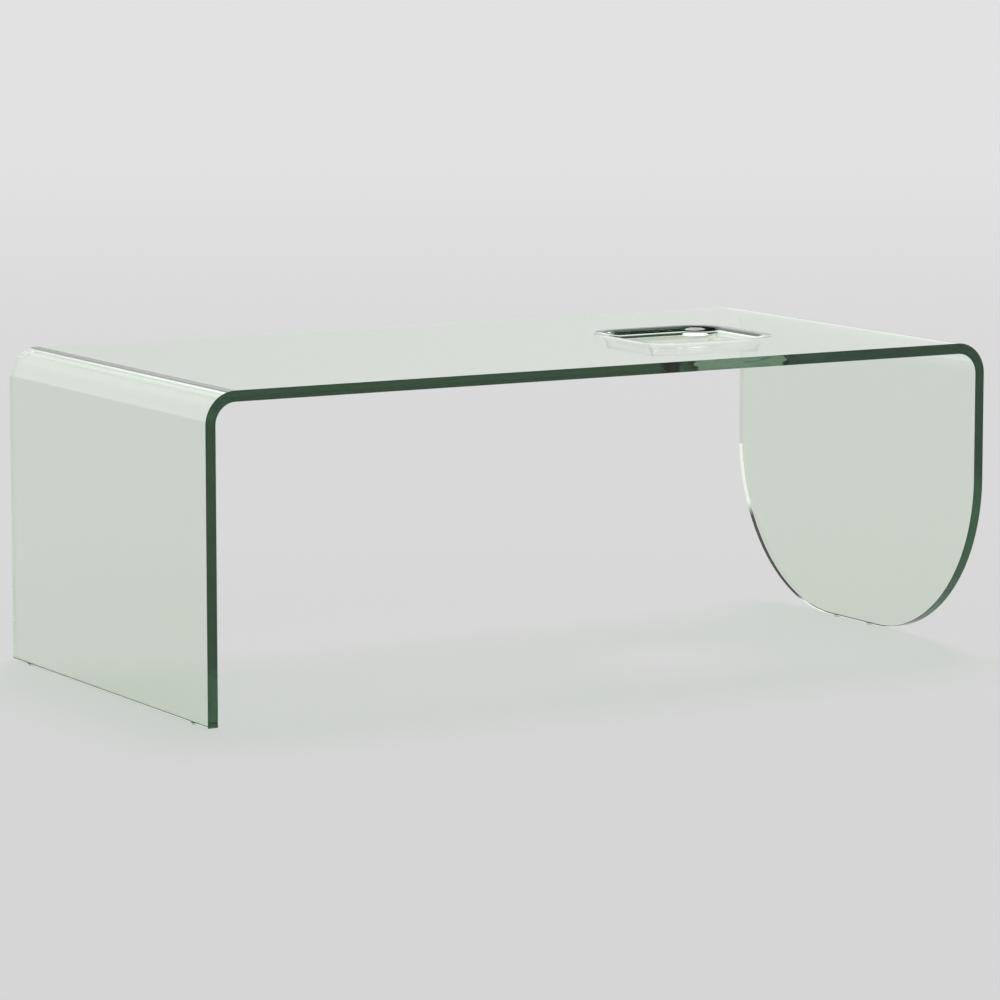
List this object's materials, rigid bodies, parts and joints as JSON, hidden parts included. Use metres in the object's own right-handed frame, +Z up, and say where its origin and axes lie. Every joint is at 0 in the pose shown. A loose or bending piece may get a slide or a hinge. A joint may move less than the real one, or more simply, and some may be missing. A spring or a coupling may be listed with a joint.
{
  "type": "waterfall coffee table",
  "caption": "Low clear bent-glass table: a flat top turns down into a full-width leg and a rounded tongue leg, with a rolled opening in the top to reach through.",
  "frame": {"origin": "on the floor, under the middle of the table's length and depth", "axes": "+X along the length towards the tongue leg, -Y to the front, +Z up"},
  "size_m": [1, 0.5, 0.36],
  "materials": {
    "float_glass": "clear polished float glass with a faint green tint, flat polished edges",
    "bumper_pad": "clear soft polyurethane, slightly hazy",
    "adhesive_film": "clear pressure-sensitive adhesive film"
  },
  "bodies": {
    "root": {"glass_sheet": "float_glass", "pad_left_front": "bumper_pad", "pad_left_rear": "bumper_pad", "pad_right_front": "bumper_pad", "pad_right_rear": "bumper_pad", "adhesive_left_front": "adhesive_film", "adhesive_left_rear": "adhesive_film", "adhesive_right_front": "adhesive_film", "adhesive_right_rear": "adhesive_film"}
  },
  "joints": []
}
